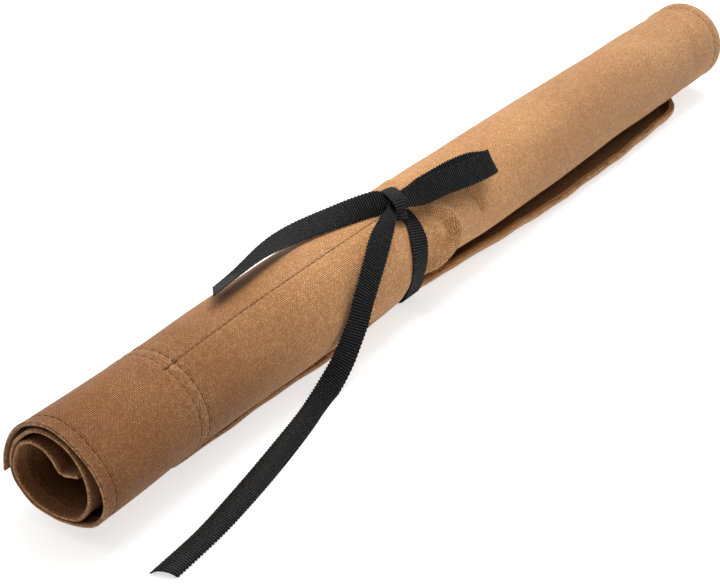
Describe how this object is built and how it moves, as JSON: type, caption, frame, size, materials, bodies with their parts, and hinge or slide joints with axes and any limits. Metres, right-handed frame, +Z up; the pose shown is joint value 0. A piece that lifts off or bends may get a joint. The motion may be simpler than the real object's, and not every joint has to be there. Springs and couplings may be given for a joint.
{
  "type": "carving tool roll",
  "caption": "Empty rolled-up carving tool roll: a hemmed waxed canvas panel with sewn pockets and a tie flap, closed by a ribbon tied in a half bow.",
  "frame": {"origin": "centre of the rolled canvas's bounding box at the bottom, on the surface that it lies on", "axes": "+X along the roll, away from the end with the pocket seam; +Z up; the tie flap's free edge is on the -Y side"},
  "size_m": [0.4652, 0.069, 0.0553],
  "materials": {
    "waxed_canvas": "waxed plain weave canvas, tan, slightly mottled",
    "thread": "brown sewing thread",
    "ribbon": "black grosgrain ribbon with cross ribs"
  },
  "bodies": {
    "roll": {"divider_thread_1": "thread", "divider_thread_2": "thread", "divider_thread_3": "thread", "divider_thread_4": "thread", "divider_thread_5": "thread", "far_hem": "waxed_canvas", "far_hem_thread": "thread", "flap_hem_thread": "thread", "inner_edge_hem": "waxed_canvas", "inner_edge_thread": "thread", "main_panel": "waxed_canvas", "near_hem": "waxed_canvas", "near_hem_thread": "thread", "outer_edge_hem": "waxed_canvas", "outer_edge_thread": "thread", "pocket_panel": "waxed_canvas", "pocket_seam_thread_1": "thread", "pocket_seam_thread_2": "thread", "pocket_top_hem": "waxed_canvas", "pocket_top_thread": "thread", "ribbon_anchor_thread": "thread", "ribbon_knot": "ribbon", "ribbon_wrap": "ribbon", "tie_flap": "waxed_canvas"},
    "loop": {"ribbon_loop": "ribbon"},
    "back_tail": {"ribbon_back_tail": "ribbon"},
    "front_tail": {"ribbon_front_tail": "ribbon"}
  },
  "joints": [
    {"name": "loop_lift", "type": "hinge", "parent": "roll", "child": "loop", "pos_m": [-0.0306, -0.0043, 0.0509], "axis": [0, -1, 0], "range_deg": [0, 45]},
    {"name": "back_tail_lift", "type": "hinge", "parent": "roll", "child": "back_tail", "pos_m": [-0.0506, -0.0024, 0.0504], "axis": [0, 1, 0], "range_deg": [0, 50]},
    {"name": "front_tail_lift", "type": "hinge", "parent": "roll", "child": "front_tail", "pos_m": [-0.0445, -0.0134, 0.0466], "axis": [-0.193, 0.9812, 0], "range_deg": [0, 40]}
  ]
}
